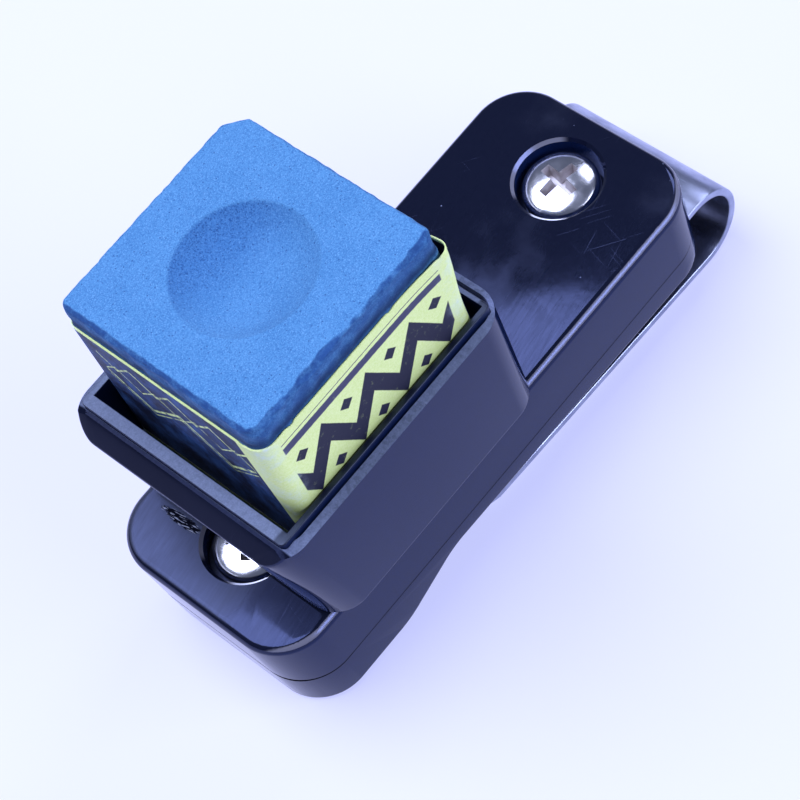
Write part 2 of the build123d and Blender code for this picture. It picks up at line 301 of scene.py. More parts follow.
# %% Dish, grain and the finished block
CHALK_X = 19.8
CHALK_LOW = 6.65
chalk_place = np.array((CHALK_X, 0, CHALK_LOW))
DISH_RADIUS = 6.4
DISH_DEPTH = 1.5
RIM_SOFTNESS = 0.05
PAPER_LINE = 19.3
# Painted shade falls on the dish's wall on this side
DISH_SHADE_SIDE = np.array((0.14, 0.99))


def dish_hollow(radius):
    """Depth of the dish at a radius: D * (1 - (r / R)^3), with a soft rim where that reaches nothing."""
    hollow = DISH_DEPTH * (1 - (radius / DISH_RADIUS) ** 3)
    return 0.5 * (hollow + np.sqrt(hollow**2 + RIM_SOFTNESS**2))


def wear_chalk(rings):
    """Worn edges, then the dish, and a fine grain on every open surface. The other results say how broken
    each place is, with the bare side above the paper added as painted shade; a faint burnish over the dish
    with painted shade on its far side; and painted shade along the paper's edge."""
    height = rings[..., 2]
    grit = lattice_noise(rings, 0.34, 5)
    points, worn = wear_edges(rings, grit)
    radius = np.linalg.norm(points[..., :2], axis=-1)
    hollow = dish_hollow(radius)
    open_top = ease(height, CHALK_SIDE - 0.4, CHALK_SIDE - 0.1)
    points[..., 2] -= open_top * hollow
    bare_side = ease(height, PAPER_LINE - 0.3, PAPER_LINE + 0.3) * (1 - open_top)
    grain = 0.016 * lattice_noise(rings, 0.9, 7) + 0.014 * grit + 0.05 * worn * lattice_noise(rings, 0.5, 8)
    points[..., 2] += open_top * grain
    outward = points[..., :2] / np.maximum(radius, 1)[..., None]
    crumbled = 0.1 + 0.1 * lattice_noise(rings, 1.1, 9) + 0.05 * grit
    points[..., :2] -= (bare_side * crumbled)[..., None] * outward
    # Painted shade: dark on the dish's far side, with a faint burnish (0.06) over the rest of the dish
    far_rim = ease(points[..., :2] @ DISH_SHADE_SIDE, -1.8, DISH_RADIUS - 1.2)
    rubbed = open_top * ease(hollow, 0.03, 0.2) * (0.06 + 0.94 * far_rim)
    # Painted shade on the bare side just above the paper's edge
    paper_edge_shade = bare_side * ease(height, PAPER_LINE + 1.7, PAPER_LINE + 0.2)
    # The bare side above the paper joins the broken edges: painted shade on top of real breaks
    return points, np.maximum(worn, 0.8 * bare_side), rubbed, paper_edge_shade


chalk_points, chalk_worn_and_shade, chalk_dish_shade, chalk_paper_edge_shade = wear_chalk(clean_chalk)
chalk = skin("chalk_block", from_case(chalk_points + chalk_place))
# The attributes: broken edges with painted shade on the bare side, the dish's painted shade, and painted
# shade at the paper's edge
for layer_name, values in (("worn", chalk_worn_and_shade), ("rubbed", chalk_dish_shade), ("paper_edge_shade", chalk_paper_edge_shade)):
    layer = chalk.data.attributes.new(layer_name, "FLOAT", "POINT")
    ends = (values[0].mean(), values[-1].mean())
    layer.data.foreach_set("value", np.append(values.ravel(), ends).astype(np.float32))

# %% [markdown]
# ## The paper wrap
# A strip of thin paper is glued round the cube's four sides. The CAD band is exact; real paper is cut
# a little unevenly, and its top edge frays and lifts where the chalk crumbles away. The band is a thin
# closed loop of rings: up the outside, over the top edge, and down the inside.

# %% Paper rings
PAPER_THICKNESS = 0.12
PAPER_GAP = 0.01
PAPER_INSIDE = CHALK_HALF + PAPER_GAP
PAPER_HALF = PAPER_INSIDE + PAPER_THICKNESS
PAPER_COLUMNS = (70, 12)
LIFT = 0.6
LIFT_REACH = 3.2
LIFT_WAY = np.array((0.82, -0.57))


def paper_rings():
    """Outside rows from foot to top, then inside rows back down; the top edge's height wanders by noise.
    At the rear right corner the paper is loose and stands out by lift * exp(-(distance / reach)^2). The
    second result is the length walked round the outside, one for each column and one for the close."""
    columns = ring_columns(*PAPER_COLUMNS)
    outer_radii = corner_radii(*PAPER_COLUMNS, grown=PAPER_GAP + PAPER_THICKNESS)
    inner_radii = corner_radii(*PAPER_COLUMNS, grown=PAPER_GAP)
    outside = rounded_ring(columns, PAPER_HALF, PAPER_HALF, outer_radii)
    inside = rounded_ring(columns, PAPER_INSIDE, PAPER_INSIDE, inner_radii)
    heights = np.concatenate([np.linspace(0, 18, 14), np.linspace(18, PAPER_LINE, 7)[1:]])
    flat = np.concatenate([ring[None].repeat(len(heights), 0) for ring in (outside, inside)])
    height = np.concatenate([heights, heights[::-1]])[:, None] + 0 * flat[..., 0]
    loose_corner = np.array((PAPER_HALF, -PAPER_HALF))
    near_corner = np.exp(-((outside - loose_corner) ** 2).sum(-1) / LIFT_REACH**2)
    lift = LIFT * near_corner * ease(height, 10, PAPER_LINE)
    flat = flat + lift[..., None] * LIFT_WAY
    along = np.concatenate([outside, 0 * outside[:, :1]], axis=-1)[None]
    fray = 0.06 * lattice_noise(along, 4.1, 11) + 0.025 * lattice_noise(along, 0.6, 12)
    nick = -0.2 * ease(lattice_noise(along, 1.1, 13), 0.66, 0.85)
    height = height + ease(height, 17.6, PAPER_LINE) * (fray + nick)
    lengths = np.linalg.norm(np.diff(outside, axis=0, append=outside[:1]), axis=-1)
    walked = np.concatenate([[0], np.cumsum(lengths)])
    return np.concatenate([flat, height[..., None]], axis=-1), walked


# %% Paper band and its flat map
# The map counts sides round the band, from the middle of a corner, half its arc before the first column
HALF_ARC = (CHALK_CORNER + PAPER_GAP + PAPER_THICKNESS) * np.pi / 4
band, round_paper = paper_rings()
side_length = float(round_paper[-1] / 4)
across_paper = ((round_paper + HALF_ARC) / side_length)[None]
up_paper = np.concatenate([band[..., 2], band[:1, :, 2]])
up_paper = np.concatenate([up_paper, up_paper[:, :1]], axis=1) / side_length
paper = skin(
    "paper_wrap",
    from_case(band + chalk_place),
    joined=True,
    uv=np.stack(np.broadcast_arrays(across_paper, up_paper), axis=-1),
)

# %% [markdown]
# ## The belt clip
# The clip is one strip of spring steel: an upper leaf that the case's two shells clamp, a round bend, and
# a lower leaf with a lifted lip. CAD cuts it in two at the bend so that the hinge there has two bodies. A
# real strip has no such cut, so one strip follows the whole path and bends smoothly between the bodies.

# %% Clip path
CLIP_THICKNESS = 0.8
CLIP_CORNER = 2.5
CLIP_ROOT_X = 38.0
CLIP_MID_Z = -7.1
BEND_X = 57.9
BEND_Z = -11.5
BEND_RADIUS = 4.8
CLIP_SLOPE = np.radians(3.6)
LEAF_LENGTH = 32.0
LIP_RADIUS = 2.2
LIP_TURN = np.radians(42.0)


def arc_run(centre, radius, start, turn, steps):
    """Middle line of a bend whose outer face has that radius: centre + (radius - half thickness) *
    (cos, sin), and its outward side."""
    angle = start + turn * np.linspace(0, 1, steps)
    side = np.stack([np.cos(angle), np.sin(angle)], axis=-1)
    return np.array(centre) + (radius - CLIP_THICKNESS / 2) * side, side


def straight_run(start, end, side, steps):
    """Middle line from start to end, with one outward side."""
    share = np.linspace(0, 1, steps)[:, None]
    return np.array(start) * (1 - share) + np.array(end) * share, np.array(side) + 0 * share


def end_steps(length, steps):
    """Places along a leaf: corner * (1 - cos) of a quarter turn where its end is rounded, then even."""
    turn = np.linspace(0, np.pi / 2, 9)[:-1]
    return np.concatenate([CLIP_CORNER * (1 - np.cos(turn)), np.linspace(CLIP_CORNER, length, steps)])


def clip_path():
    """Upper leaf, bend, lower leaf and lip, end to end: (x, z) and the outward side of each place."""
    upper = end_steps(BEND_X - CLIP_ROOT_X, 12)
    upper_line = np.stack([CLIP_ROOT_X + upper, CLIP_MID_Z + 0 * upper], axis=-1)
    upper_side = np.array((0.0, 1.0)) + 0 * upper_line
    bend_line, bend_side = arc_run((BEND_X, BEND_Z), BEND_RADIUS, np.pi / 2, -np.pi - CLIP_SLOPE, 44)
    down = bend_side[-1]
    along = np.array([down[1], -down[0]])
    lower_end = bend_line[-1] + along * LEAF_LENGTH
    lower_line, lower_side = straight_run(bend_line[-1], lower_end, down, 26)
    lip_centre = lower_end - down * (LIP_RADIUS - CLIP_THICKNESS / 2)
    lip_line, lip_side = arc_run(lip_centre, LIP_RADIUS, -np.pi / 2 - CLIP_SLOPE, -LIP_TURN, 14)
    line = np.concatenate([upper_line, bend_line[1:], lower_line[1:], lip_line[1:]])
    side = np.concatenate([upper_side, bend_side[1:], lower_side[1:], lip_side[1:]])
    return line, side


# %% Clip strip
CLIP_HALF_WIDTH = 9.15
CLIP_EDGE = 0.16


def clip_rings():
    """At each place on the path a rounded section stands across it; its half width follows the rounded
    corners of the strip's two ends: W - c + sqrt(c^2 - (c - s)^2) within c of an end."""
    line, side = clip_path()
    steps = np.linalg.norm(np.diff(line, axis=0), axis=-1)
    walked = np.concatenate([[0], np.cumsum(steps)])
    from_end = np.minimum(walked, walked[-1] - walked)
    inside = np.clip(CLIP_CORNER - from_end, 0, CLIP_CORNER)
    half_width = CLIP_HALF_WIDTH - CLIP_CORNER + np.sqrt(CLIP_CORNER**2 - inside**2)
    section = rounded_ring(ring_columns(7, 3), half_width[:, None], CLIP_THICKNESS / 2, CLIP_EDGE)
    across, out = section[..., 0], section[..., 1]
    x = line[:, None, 0] + side[:, None, 0] * out
    z = line[:, None, 1] + side[:, None, 1] * out
    return np.stack([x, across, z], axis=-1)


clip = skin("belt_clip", from_case(clip_rings()))

# %% [markdown]
# ## The screw's hole in the clamped leaf
# The rear screw goes through the upper leaf, which shows when the case is opened. A hole drawn into the
# grid would crowd the strip with rows, so a Boolean modifier cuts it out and the result becomes the mesh.

# %% Cut the hole
SCREW_MIDDLE = 29.275
SCREW_APART = 21.675
HOLE_RADIUS = 1.65
HOLE_CLEARANCE = 2


def cut_hole(piece, x, radius, low, high):
    """Take an upright cylinder away from a piece, at x on the case's middle line: two rings of
    (x + r * cos, r * sin), one low and one high."""
    turn = np.linspace(0, 2 * np.pi, 40, endpoint=False)
    circle = np.stack([x + radius * np.cos(turn), radius * np.sin(turn)], axis=-1)
    heights = np.broadcast_to(np.array((low, high))[:, None, None], (2, len(turn), 1))
    cutter = skin("cutter", from_case(np.concatenate([np.stack([circle, circle]), heights], axis=-1)))
    hole = piece.modifiers.new("hole", "BOOLEAN")
    hole.object = cutter
    cut = bpy.data.meshes.new_from_object(piece.evaluated_get(bpy.context.evaluated_depsgraph_get()))
    piece.modifiers.clear()
    piece.data = cut
    bpy.data.objects.remove(cutter)


hole_x = SCREW_MIDDLE + SCREW_APART
cut_hole(clip, hole_x, HOLE_RADIUS, CLIP_MID_Z - HOLE_CLEARANCE, CLIP_MID_Z + HOLE_CLEARANCE)

# %% [markdown]
# ## Finishes from nodes
# A finish is a Principled shader whose constant numbers sit on its own sockets, and a few textures for
# what varies: colour, roughness and a fine bump. Textures read Object coordinates in metres, so a
# texture of scale 4000 has features a quarter of a millimetre wide. Nodes can be wired by hand in the
# editor; helpers that each add one node make the same wiring short enough to read as a recipe. A socket
# knows the tree it belongs to, so the helpers find it there.

# %% Nodes and sums
def finish(name, **sockets):
    """A new material with one Principled shader; each keyword names a socket, with _ for a space."""
    made = bpy.data.materials.new(name)
    made.use_nodes = True
    shader = made.node_tree.nodes["Principled BSDF"]
    for socket, value in sockets.items():
        shader.inputs[socket.replace("_", " ")].default_value = value
    return made, made.node_tree, shader


def add(tree, kind, sockets=None, **options):
    """One shader node: options are its settings, sockets its inputs, each a value or an output to link."""
    node = tree.nodes.new("ShaderNode" + kind)
    for key, value in options.items():
        setattr(node, key, value)
    for key, value in (sockets or {}).items():
        if isinstance(value, bpy.types.NodeSocket):
            tree.links.new(value, node.inputs[key])
        else:
            node.inputs[key].default_value = value
    return node


def calc(operation, first, second=0.0):
    """Output of a Math node, in the tree of the input that is another node's output."""
    linked = first if isinstance(first, bpy.types.NodeSocket) else second
    return add(linked.id_data, "Math", {0: first, 1: second}, operation=operation).outputs[0]


# Sum, difference, product and the larger, each of two values
plus, minus, times, larger = [partial(calc, kind) for kind in ("ADD", "SUBTRACT", "MULTIPLY", "MAXIMUM")]


def apart(first, second):
    """Distance between two values."""
    return calc("ABSOLUTE", minus(first, second))


def weighted(start, *shares):
    """start plus each value times its weight."""
    total = start
    for value, weight in shares:
        total = plus(total, times(value, weight))
    return total


# %% Ramps, colours and textures
def ramp(value, low, high, to_low=0.0, to_high=1.0):
    """A value carried smoothly from the range low..high to the range to_low..to_high."""
    sockets = {"Value": value, "From Min": low, "From Max": high, "To Min": to_low, "To Max": to_high}
    return add(value.id_data, "MapRange", sockets, interpolation_type="SMOOTHSTEP").outputs[0]


def mix(share, first, second):
    """A colour between first and second."""
    return add(share.id_data, "Mix", {0: share, 6: first, 7: second}, data_type="RGBA").outputs[2]


def layered(colour, *coats):
    """Coats laid over a colour one after the other, each a share from 0 to 1 and the coat's own colour."""
    for share, coat in coats:
        colour = mix(share, colour, coat)
    return colour


def noise(place, scale, detail=2.0, rough=0.5):
    """Noise texture's value at a place."""
    sockets = {"Vector": place, "Scale": scale, "Detail": detail, "Roughness": rough}
    return add(place.id_data, "TexNoise", sockets).outputs[0]


def cells(place, scale):
    """Voronoi cells: the distance from a cell's middle, and the cell's own random colour's three parts."""
    texture = add(place.id_data, "TexVoronoi", {"Vector": place, "Scale": scale})
    parts = add(place.id_data, "SeparateColor", {0: texture.outputs["Color"]}).outputs
    return texture.outputs["Distance"], parts


def bump(shader, height, strength, distance):
    """A fine relief on the shader's normal."""
    node = add(shader.id_data, "Bump", {"Height": height, "Strength": strength, "Distance": distance})
    shader.id_data.links.new(node.outputs[0], shader.inputs["Normal"])


def stretched(place, turn, length, width):
    """Coordinates for a texture drawn out to that length along a level direction, and squeezed to that
    width across it."""
    sockets = {"Vector": place, "Rotation": (0.0, 0.0, np.radians(turn)), "Scale": (length, width, length)}
    return add(place.id_data, "Mapping", sockets, vector_type="TEXTURE").outputs[0]


def case_spot(place):
    """A place's x, y and z in the case's own frame: scaled to millimetres, turned back and moved."""
    tilt = float(np.arctan2(case_rear[2], case_rear[0]))
    moved = [float(v) for v in -(case_axes @ case_origin) / MM]
    to_case = {"Vector": place, "Scale": (1 / MM,) * 3, "Rotation": (0.0, tilt, 0.0), "Location": moved}
    spot = add(place.id_data, "Mapping", to_case).outputs[0]
    return add(place.id_data, "SeparateXYZ", {0: spot}).outputs


# %% [markdown]
# ## Gloss black plastic
# Case and cup are moulded in black plastic that came out of a polished tool. It is nearly black by itself
# and shows mostly what it mirrors, with a cool tint. What makes it real is what time has left on it:
# hair-fine scratches in a few directions, specks of dust on the faces that look up, and patches that
# handling has dulled. A painted picture could show them from one side only; thresholds on noise in space
# reach every face.

# %% Scratches and specks
# Each run of scratches: direction in degrees, length and width in metres, and the noise level it needs
SCRATCH_RUNS = (
    (12, 0.016, 0.00008, 0.69),
    (-38, 0.012, 0.00007, 0.71),
    (74, 0.014, 0.00007, 0.71),
)


def scratches(place, facing):
    """Long thin marks: noise stretched along a direction, kept above a high level. They lie in patches and
    are weaker on the sides."""
    marks = 0.0
    for turn, length, width, level in SCRATCH_RUNS:
        streak = noise(stretched(place, turn, length, width), 1.0, 1.0)
        marks = larger(ramp(streak, level, level + 0.03), marks)
    marks = times(marks, ramp(noise(place, 110.0), 0.48, 0.66))
    return times(marks, ramp(facing, 0.3, 0.8, 0.15, 1.0))


def dust_specks(place):
    """A round speck in some cells of a Voronoi texture: a cell's own chance says whether, and how large."""
    distance, parts = cells(place, 900.0)
    size = ramp(parts[0], 0.86, 1.0, 0.0, 0.13)
    return ramp(minus(size, distance), 0.0, 0.03)


# %% Marks on the case: wear, a painted highlight and painted shade
SEAM_Z = -7.5
SEAM_HALF = 0.09
FRONT_SEAM_HALF = 0.22
PATCH_X = 5.5
PATCH_Y = 6.3
PATCH_HALF_X = 0.6
PATCH_HALF_Y = 2.7
HAZE_REACH = 6.5
DUST_FILM = (0.036, 0.041, 0.058, 1)
# Painted highlight: grey on the right edge's fillet
EDGE_HIGHLIGHT_GREY = (0.24, 0.24, 0.28, 1)
NEAR_BLACK = (0.002, 0.002, 0.004, 1)
PALE_FLECK = (0.3, 0.33, 0.42, 1)


def seam_dirt_and_shade(x, z, frontward):
    """Dirt and painted shade where the two shells meet: a line at the seam's height, wider and darker on
    the front face.
    """
    half = ramp(frontward, 0.55, 1.0, SEAM_HALF, FRONT_SEAM_HALF)
    line = ramp(minus(apart(z, SEAM_Z), half), 0.05, 0.0)
    return times(line, ramp(x, 8.0, 2.0, 0.4, 1.0))


def dark_patch_mark(place, x, y):
    """A dark patch beside the cup: an ellipse, (x / a)^2 + (y / b)^2, whose edge is broken up by noise."""
    across = calc("DIVIDE", minus(x, PATCH_X), PATCH_HALF_X)
    along = calc("DIVIDE", minus(y, PATCH_Y), PATCH_HALF_Y)
    reach = plus(times(across, across), times(along, along))
    return ramp(weighted(reach, (noise(place, 1500.0, 4.0, 0.8), 2.4)), 2.0, 1.75)


def wear_case(place, normal, upward, colour, rough, gloss):
    """Colour, roughness and gloss with the case's own marks over them: a painted highlight on the right
    edge, a haze on the front of its top, a dark patch beside the cup, and dirt and painted shade in the
    seam. The edge is where the surface leans to the right."""
    x, y, z = case_spot(place)
    facing = normal["Z"]
    # Painted highlight: the right side's fillet is lightened grey, and made rougher and glossier
    edge = times(ramp(facing, 0.9, 0.84), ramp(facing, 0.48, 0.54))
    edge = times(edge, ramp(normal["Y"], -0.3, -0.45))
    haze = times(ramp(x, HAZE_REACH + 2, HAZE_REACH), ramp(y, -5.0, -2.0))
    haze = times(haze, upward)
    # A dark, flecked patch beside the cup
    dark_patch = times(dark_patch_mark(place, x, y), upward)
    # Dirt and painted shade in the seam
    seam = seam_dirt_and_shade(x, z, times(normal["X"], -1.0))
    flecks = noise(stretched(place, 97, 0.0008, 0.00012), 1.0, 2.0, 0.6)
    colour = layered(
        colour,
        (times(edge, 0.55), EDGE_HIGHLIGHT_GREY),
        (times(haze, 0.9), DUST_FILM),
        (dark_patch, mix(ramp(flecks, 0.55, 0.63), NEAR_BLACK, PALE_FLECK)),
        (seam, NEAR_BLACK),
    )
    rough = weighted(rough, (edge, 0.2), (haze, 0.27), (dark_patch, 0.5))
    clean = minus(1.0, larger(seam, times(dark_patch, 0.8)))
    return colour, rough, times(weighted(gloss, (edge, 0.4)), clean)


# %% Plastic recipe
FAR = 99.0
CLEAN_BLACK = (0.0035, 0.0048, 0.0125, 1)
HANDLED_BLACK = (0.0055, 0.0072, 0.017, 1)
# Painted shade: a cool blue cast on the side faces, the tint that shaded walls take
SIDE_SHADE_BLUE = (0.004, 0.0105, 0.045, 1)
SCRATCH_GREY = (0.07, 0.08, 0.13, 1)
SPECK_GREY = (0.22, 0.25, 0.36, 1)


def plastic(name, dull, dusty, film_colour, film, wave, tint, used=False, bare_side=FAR, dark_front=-FAR):
    """Black plastic: dull is its least roughness, dusty the share of specks, film_colour and the range film
    what handling leaves on the faces that look up, wave how uneven the moulded faces are, tint its mirror
    colour. used adds the case's marks. The film stays off what lies further right than bare_side, in
    millimetres, and off what lies further forward than dark_front, which is less glossy as well."""
    made, tree, shader = finish(name, IOR=1.5, Specular_Tint=tint)
    coordinates = add(tree, "TexCoord")
    place = coordinates.outputs["Object"]
    normal = add(tree, "SeparateXYZ", {0: coordinates.outputs["Normal"]}).outputs
    facing = normal["Z"]
    upward = ramp(facing, 0.75, 0.92)
    sideways = ramp(calc("ABSOLUTE", facing), 0.5, 0.15)
    x, y = case_spot(place)[:2]
    front = times(ramp(x, dark_front + 0.1, dark_front - 0.1), ramp(facing, 0.25, 0.45))
    bare = larger(front, ramp(y, 0.3 - bare_side, -bare_side))

    marks = scratches(place, facing)
    speck = times(dust_specks(place), times(upward, dusty))
    handled = ramp(noise(place, 75.0, 3.0, 0.6), 0.45, 0.75)
    mottle = noise(place, 1900.0, 3.0, 0.6)
    grain = ramp(noise(place, 7000.0, 2.0, 0.6), 0.3, 0.7, 0.75, 1.0)
    coat = times(ramp(mottle, 0.3, 0.6, 0.75, 1.0), ramp(handled, 0.0, 1.0, *film))
    coat = times(times(coat, upward), minus(1.0, bare))
    rubbed = noise(stretched(place, 8, 0.0026, 0.00022), 1.0, 3.0, 0.65)

    colour = layered(
        mix(handled, CLEAN_BLACK, HANDLED_BLACK),
        (times(coat, grain), film_colour),
        # Painted shade: side faces take a blue cast
        (times(sideways, ramp(mottle, 0.2, 0.8, 0.7, 1.0)), SIDE_SHADE_BLUE),
        (times(marks, 0.2), SCRATCH_GREY),
        (speck, SPECK_GREY),
    )
    rough = ramp(handled, 0.0, 1.0, dull, dull + 0.06)
    rough = weighted(rough, (marks, 0.1), (mottle, 0.03), (speck, 0.5), (coat, 0.3))
    gloss = weighted(0.5, (minus(0.5, rubbed), times(upward, 0.5)))
    gloss = times(gloss, ramp(sideways, 0.0, 1.0, 1.0, 0.45))
    gloss = times(gloss, ramp(front, 0.0, 1.0, 1.0, 0.2))
    if used:
        colour, rough, gloss = wear_case(place, normal, upward, colour, rough, gloss)
    tree.links.new(colour, shader.inputs["Base Color"])
    tree.links.new(rough, shader.inputs["Roughness"])
    tree.links.new(gloss, shader.inputs["Specular IOR Level"])

    ripple = times(noise(place, 330.0, 2.0), 0.16)
    uneven = times(noise(place, 95.0, 1.0), wave)
    relief = minus(plus(ripple, uneven), times(marks, 0.1))
    bump(shader, weighted(relief, (mottle, 0.05)), 0.35, 0.00004)
    return made


# %% The three plastics
RUBBED_GREY = (0.15, 0.18, 0.26, 1)
COOL_MIRROR = (0.4, 0.5, 1.0, 1)
PALE_MIRROR = (0.62, 0.75, 1.0, 1)
LIGHT_FILM = (0.05, 0.35)
FULL_FILM = (0.8, 0.95)
CUP_BEVEL_X = 5.85
LINER_BARE_Y = 11.0
case_plastic = plastic(
    "gloss_black_plastic", 0.03, 0.7, DUST_FILM, LIGHT_FILM, 1.8, COOL_MIRROR, used=True
)
cup_plastic = plastic(
    "cup_black_plastic", 0.05, 0.3, RUBBED_GREY, FULL_FILM, 0.8, COOL_MIRROR, dark_front=CUP_BEVEL_X
)
liner_plastic = plastic(
    "liner_black_plastic", 0.3, 0.3, RUBBED_GREY, FULL_FILM, 1.0, PALE_MIRROR, bare_side=LINER_BARE_Y
)
print("plastics:", case_plastic.name, cup_plastic.name, liner_plastic.name)

# %% [markdown]
# ## Chromed screws
# The screw heads are chromed domes with a cross recess that the plating hardly reached, so it is duller and
# browner. A second material on the recess's faces would need them picked by hand; instead the finish
# works out the dome's height at each place and treats whatever lies below it as recess.

# %% Screw recipe
HEAD_RADIUS = 3.65
HEAD_RIM = -1.35
HEAD_CROWN = 1.3
RECESS_REACH = 2.7
BRIGHT_CHROME = (0.9, 0.9, 0.92, 1)
CLOUDED_CHROME = (0.8, 0.81, 0.85, 1)
BROWN_RECESS = (0.46, 0.42, 0.42, 1)
GREY_RECESS = (0.68, 0.66, 0.67, 1)


def screw_finish():
    """Chrome with a duller, browner cross recess. A place is in the recess when it lies below the dome,
    rim + crown * sqrt(1 - (r / R)^2), where r is its distance from the nearer screw's axis."""
    made, tree, shader = finish("chrome_plate", Metallic=1.0)
    place = add(tree, "TexCoord").outputs["Object"]
    x, y, z = case_spot(place)
    along = minus(apart(x, SCREW_MIDDLE), SCREW_APART)
    reach = calc("SQRT", plus(times(along, along), times(y, y)))
    share = calc("MINIMUM", calc("DIVIDE", reach, HEAD_RADIUS), 1.0)
    dome = calc("SQRT", minus(1.0, times(share, share)))
    dome = plus(times(dome, HEAD_CROWN), HEAD_RIM)
    sunk = ramp(minus(dome, z), 0.05, 0.14)
    recess = times(sunk, ramp(reach, RECESS_REACH, RECESS_REACH - 0.1))
    cloud = noise(place, 900.0, 4.0, 0.6)
    plated = mix(ramp(cloud, 0.3, 0.7), BRIGHT_CHROME, CLOUDED_CHROME)
    bare = mix(ramp(cloud, 0.35, 0.65), BROWN_RECESS, GREY_RECESS)
    tree.links.new(mix(recess, plated, bare), shader.inputs["Base Color"])
    polish = ramp(cloud, 0.3, 0.7, 0.15, 0.25)
    tree.links.new(weighted(polish, (recess, 0.42)), shader.inputs["Roughness"])
    bump(shader, noise(place, 5000.0, 3.0, 0.6), 0.12, 0.00002)
    return made


chrome = screw_finish()
print("screws:", chrome.name)

# %% [markdown]
# ## Metals
# The clip is bright nickel-plated spring steel. A bare metal shader looks like a computer's mirror; fine
# brushing along the strip and faint clouds in the plating make it steel. The parts inside the case get
# their own metals too: brass bushes, a plated magnet and plain steel plates, which show when the holder is
# taken apart.

# %% Metal recipe
def metal(name, colour, darker, low, high, grain_scale, grain_depth):
    """Metal whose colour and roughness, from low to high, drift with cloudy noise, and whose grain is noise
    scaled by its own number along each axis, so that it runs where the number is smallest."""
    made, tree, shader = finish(name, Metallic=1.0)
    place = add(tree, "TexCoord").outputs["Object"]
    cloud = noise(place, 420.0, 4.0, 0.6)
    grain_place = add(tree, "Mapping", {"Vector": place, "Scale": grain_scale}).outputs[0]
    grain = noise(grain_place, 1.0, 3.0, 0.6)
    tree.links.new(mix(ramp(cloud, 0.3, 0.7), colour, darker), shader.inputs["Base Color"])
    drift = plus(times(cloud, 0.6), times(grain, 0.4))
    tree.links.new(ramp(drift, 0.3, 0.7, low, high), shader.inputs["Roughness"])
    bump(shader, grain, grain_depth, 0.00002)
    return made


# Each metal: colour, darker clouds, least and most roughness, grain along x, y and z, depth of grain
METALS = {
    "bright_spring_steel": (
        (0.42, 0.46, 0.58, 1), (0.32, 0.35, 0.46, 1), 0.26, 0.42, (12000, 500, 12000), 0.1
    ),
    "turned_brass": ((0.72, 0.5, 0.2, 1), (0.55, 0.36, 0.13, 1), 0.2, 0.38, (900, 900, 14000), 0.3),
    "nickel_plate": ((0.72, 0.7, 0.66, 1), (0.6, 0.58, 0.55, 1), 0.14, 0.28, (4000, 4000, 4000), 0.15),
    "plain_steel": ((0.5, 0.5, 0.51, 1), (0.38, 0.38, 0.39, 1), 0.25, 0.45, (9000, 700, 9000), 0.3),
}
spring_steel, brass, nickel, plain_steel = [metal(name, *values) for name, values in METALS.items()]
print("metals:", ", ".join(METALS))

# %% [markdown]
# ## Pressed chalk
# Chalk scatters light from a powdery, porous surface, so it has no shine at all. Fresh breaks are a deeper
# blue than the rubbed top, and the pores show as pinpricks. The attributes that came with the mesh say
# where the edges broke, and where painted shade darkens the dish's far side, the bare side above the
# paper and the paper's edge.

# %% Chalk recipe
PRESSED_BLUE = (0.063, 0.199, 0.38, 1)
LIGHT_BLUE = (0.079, 0.23, 0.42, 1)
SHADED_POWDER = (0.033, 0.12, 0.275, 1)
BRIGHT_GRIT = (0.15, 0.34, 0.56, 1)
# Painted shade colours: the dish's far side and its pits, broken edges with the bare side, the paper's edge
DISH_SHADE_BLUE = (0.024, 0.1, 0.28, 1)
DISH_SHADE_PITS_BLUE = (0.012, 0.055, 0.17, 1)
BROKEN_AND_SHADED_BLUE = (0.018, 0.062, 0.19, 1)
PORE_BLUE = (0.02, 0.07, 0.2, 1)
PAPER_EDGE_SHADE_BLUE = (0.006, 0.016, 0.055, 1)


def chalk_finish():
    """Powder blue with clouds and pinprick pores; painted shade and darker pits on the dish's far side over
    a faint burnish; darker broken edges with painted shade on the bare side; painted shade at the paper's
    edge.
    """
    made, tree, shader = finish("blue_chalk", Roughness=0.96, Specular_IOR_Level=0.1, Sheen_Weight=0.05)
    place = add(tree, "TexCoord").outputs["Object"]
    worn, rubbed, paper_edge_shade = [
        add(tree, "Attribute", attribute_name=layer_name).outputs["Fac"]
        for layer_name in ("worn", "rubbed", "paper_edge_shade")
    ]
    cloud = noise(place, 240.0, 5.0, 0.65)
    powder = noise(place, 5600.0, 3.0, 0.7)
    grit = noise(place, 9500.0, 2.0, 0.6)
    pits = ramp(noise(place, 6200.0, 3.0, 0.8), 0.46, 0.64, 0.0, 0.85)
    patches = ramp(noise(place, 800.0, 4.0, 0.7), 0.32, 0.62, 0.35, 0.95)
    distance, parts = cells(place, 4200.0)
    # More pores where the dish gets painted shade
    chance = weighted(parts[1], (rubbed, 0.12))
    pore = times(ramp(distance, 0.4, 0.14), ramp(chance, 0.84, 0.97))
    colour = layered(
        mix(ramp(cloud, 0.3, 0.7), PRESSED_BLUE, LIGHT_BLUE),
        (ramp(powder, 0.38, 0.68, 0.0, 0.7), SHADED_POWDER),
        (ramp(grit, 0.5, 0.7, 0.0, 0.65), BRIGHT_GRIT),
        # Painted shade in the dish, plain and pitted
        (times(rubbed, 0.48), DISH_SHADE_BLUE),
        (times(rubbed, pits), DISH_SHADE_PITS_BLUE),
        # Broken edges, and painted shade on the bare side above the paper
        (times(worn, patches), BROKEN_AND_SHADED_BLUE),
        (times(pore, 0.7), PORE_BLUE),
        # Painted shade along the paper's edge
        (times(paper_edge_shade, 0.75), PAPER_EDGE_SHADE_BLUE),
    )
    tree.links.new(colour, shader.inputs["Base Color"])
    bump(shader, minus(times(powder, 0.8), pore), 0.5, 0.00007)
    return made


chalk_blue = chalk_finish()
print("chalk:", chalk_blue.name)

